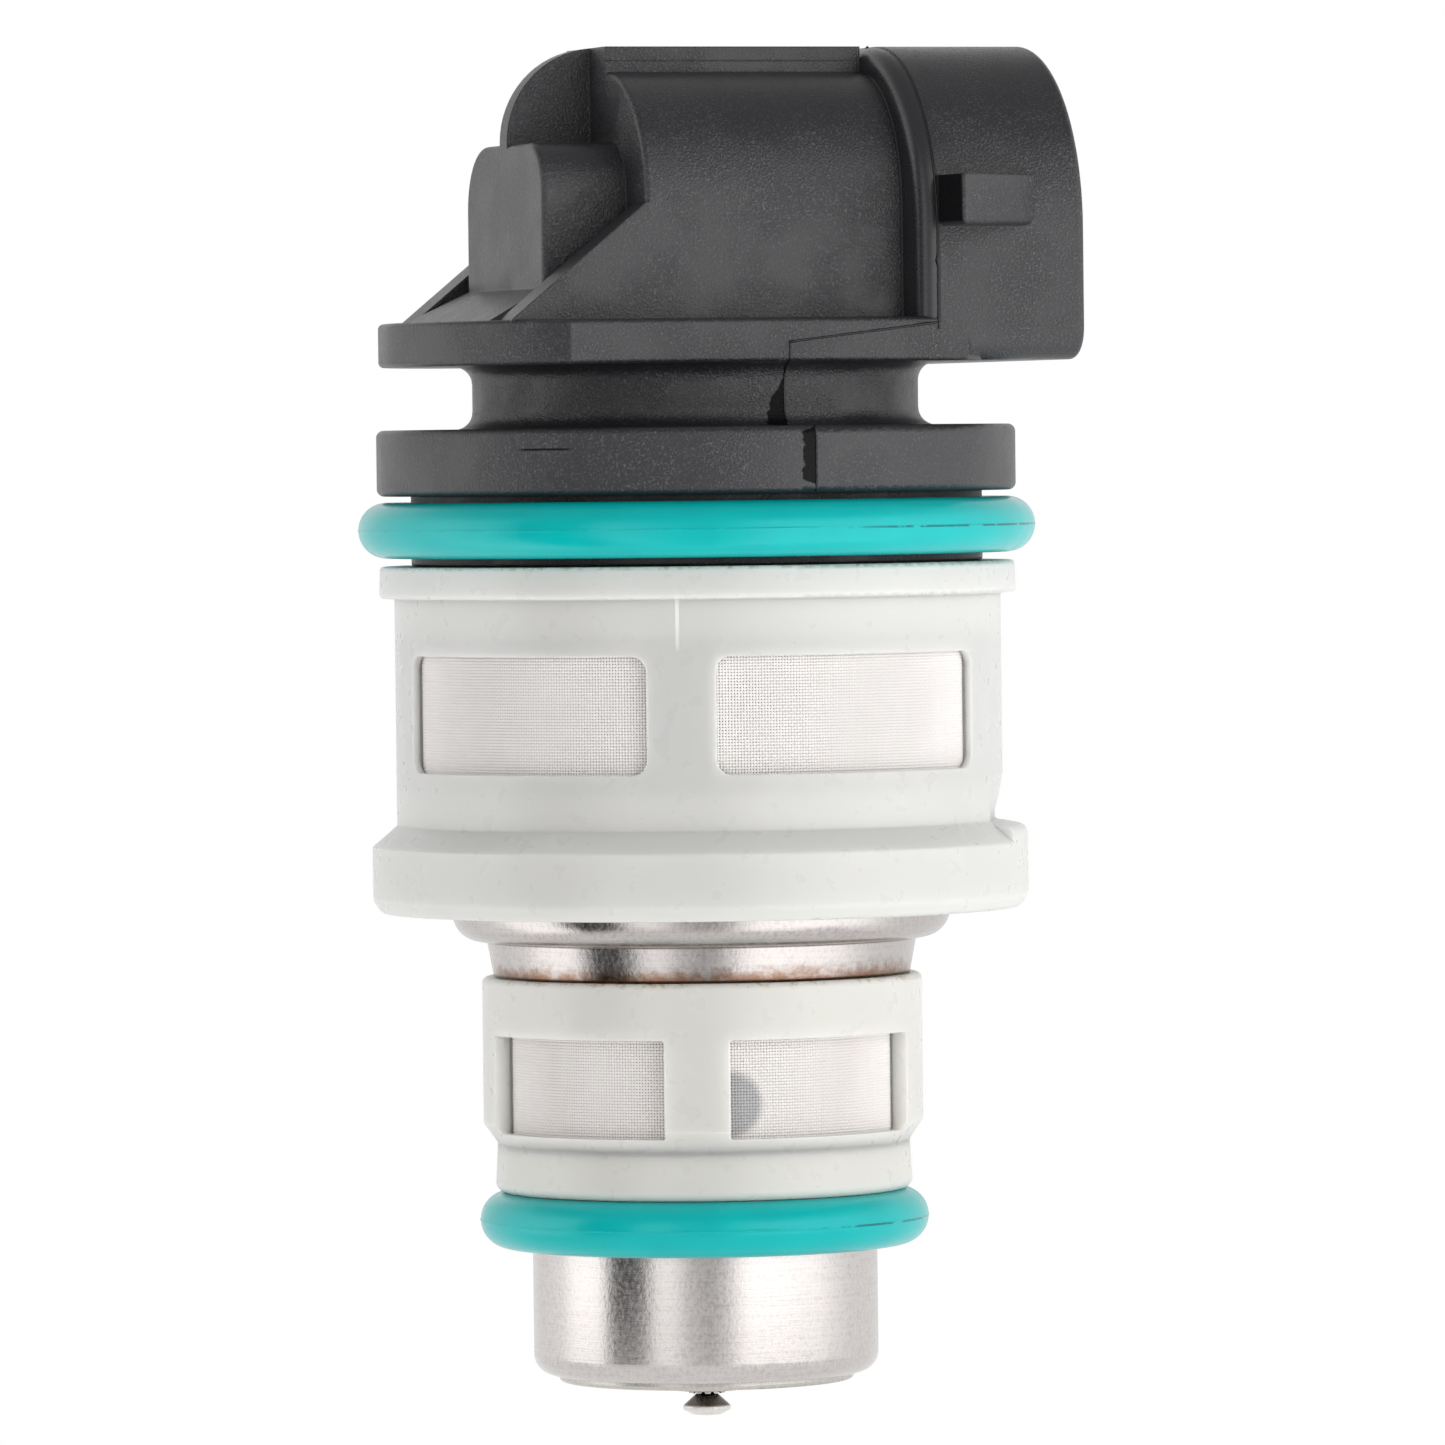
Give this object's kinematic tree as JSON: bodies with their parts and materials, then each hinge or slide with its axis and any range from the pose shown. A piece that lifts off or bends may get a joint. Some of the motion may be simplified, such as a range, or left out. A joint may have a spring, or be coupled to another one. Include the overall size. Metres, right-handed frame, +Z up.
{
  "type": "fuel injector",
  "caption": "Single-point solenoid fuel injector: two-pin side socket on a black head, screened white filters, O-ring seals and a steel nozzle with a lifting pintle needle.",
  "frame": {"origin": "on the injector's axis, at the top of the nozzle's pilot, where the lower O-ring sits", "axes": "+Z up along the injector's axis, away from the nozzle; +X the way the connector's socket faces"},
  "size_m": [0.0318, 0.0318, 0.0643],
  "materials": {
    "black_nylon": "glass-filled nylon with a fine spark-eroded grain",
    "upper_filter_nylon": "natural nylon, slightly translucent",
    "lower_filter_nylon": "natural nylon, a little yellowed by fuel",
    "upper_filter_mesh": "fine plain-woven nylon screen",
    "lower_filter_mesh": "fine plain-woven nylon screen",
    "teal_rubber": "teal fuel-resistant rubber, satin",
    "stainless_can": "drawn stainless steel",
    "stainless_shell": "turned stainless steel, stained under the collar",
    "seat_steel": "ground hardened stainless steel",
    "polished_steel": "lapped hardened steel",
    "ground_steel": "ground stainless steel",
    "magnetic_iron": "magnetic stainless iron",
    "spring_steel": "stainless spring wire",
    "bobbin_nylon": "glass-filled nylon",
    "enamelled_copper": "enamelled copper wire",
    "tinned_terminal": "tinned brass",
    "inner_seal_rubber": "black fuel-resistant rubber"
  },
  "bodies": {
    "housing": {"connector_housing": "black_nylon", "terminal_left": "tinned_terminal", "terminal_right": "tinned_terminal", "solenoid_can": "stainless_can", "coil_bobbin": "bobbin_nylon", "coil_winding": "enamelled_copper", "coil_seal_upper": "inner_seal_rubber", "coil_seal_lower": "inner_seal_rubber", "pole_plate": "magnetic_iron", "stator_core": "magnetic_iron", "spring_adjuster": "ground_steel", "adjuster_seal": "inner_seal_rubber", "return_spring": "spring_steel", "armature_guide_ring": "ground_steel", "spacer_sleeve": "ground_steel", "lift_stop_plate": "ground_steel", "valve_seat_body": "seat_steel", "nozzle_shell": "stainless_shell", "lower_seal": "teal_rubber", "lower_filter_frame": "lower_filter_nylon", "lower_filter_screen": "lower_filter_mesh", "upper_filter_frame": "upper_filter_nylon", "upper_filter_screen": "upper_filter_mesh", "upper_seal": "teal_rubber"},
    "needle": {"needle": "polished_steel", "armature": "magnetic_iron"}
  },
  "joints": [
    {"name": "needle_lift", "type": "slide", "parent": "housing", "child": "needle", "axis": [0, 0, 1], "range_m": [0, 0.00015], "stiffness_N_per_m": 2500, "springref_m": -0.0016, "deforming": ["return_spring"]}
  ]
}
